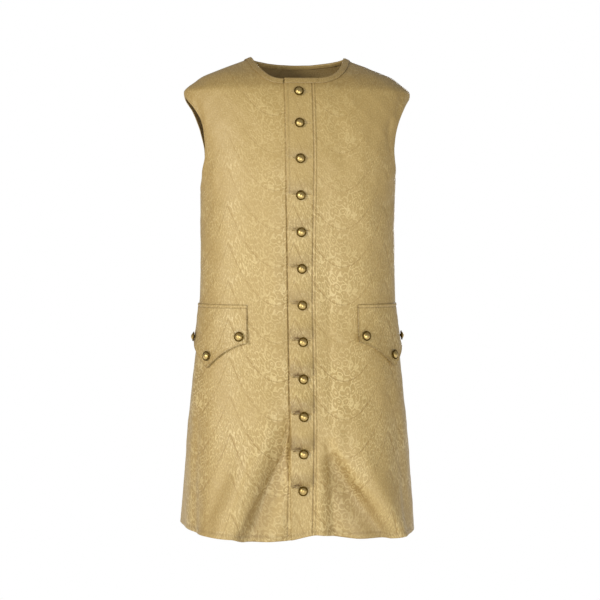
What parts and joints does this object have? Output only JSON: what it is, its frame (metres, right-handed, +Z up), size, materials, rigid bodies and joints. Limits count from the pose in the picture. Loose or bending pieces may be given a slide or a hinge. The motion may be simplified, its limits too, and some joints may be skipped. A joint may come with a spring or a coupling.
{
  "type": "long waistcoat",
  "caption": "Sleeveless long waistcoat in gold brocade, filled out as worn, with a full button front, narrow neck band and three-pointed pocket flaps over a flared skirt.",
  "frame": {"origin": "between the shoulder seams, at half their height and half the body's depth, where the wearer's shoulders carry the garment", "axes": "+Z up towards the neck, -Y out of the buttoned front, +X towards the wearer's left side"},
  "size_m": [0.489, 0.3416, 0.9778],
  "materials": {
    "brocade": "tone-on-tone woven brocade with a soft satin sheen",
    "brass": "antique brass, domed and turned, dark in the hollows and polished on the crown"
  },
  "bodies": {
    "root": {"front_left": "brocade", "front_right": "brocade", "back": "brocade", "neck_band": "brocade", "pocket_flap_left": "brocade", "pocket_flap_right": "brocade", "front_button_01": "brass", "front_button_02": "brass", "front_button_03": "brass", "front_button_04": "brass", "front_button_05": "brass", "front_button_06": "brass", "front_button_07": "brass", "front_button_08": "brass", "front_button_09": "brass", "front_button_10": "brass", "front_button_11": "brass", "front_button_12": "brass", "flap_button_left_1": "brass", "flap_button_left_2": "brass", "flap_button_left_3": "brass", "flap_button_right_1": "brass", "flap_button_right_2": "brass", "flap_button_right_3": "brass"}
  },
  "joints": []
}
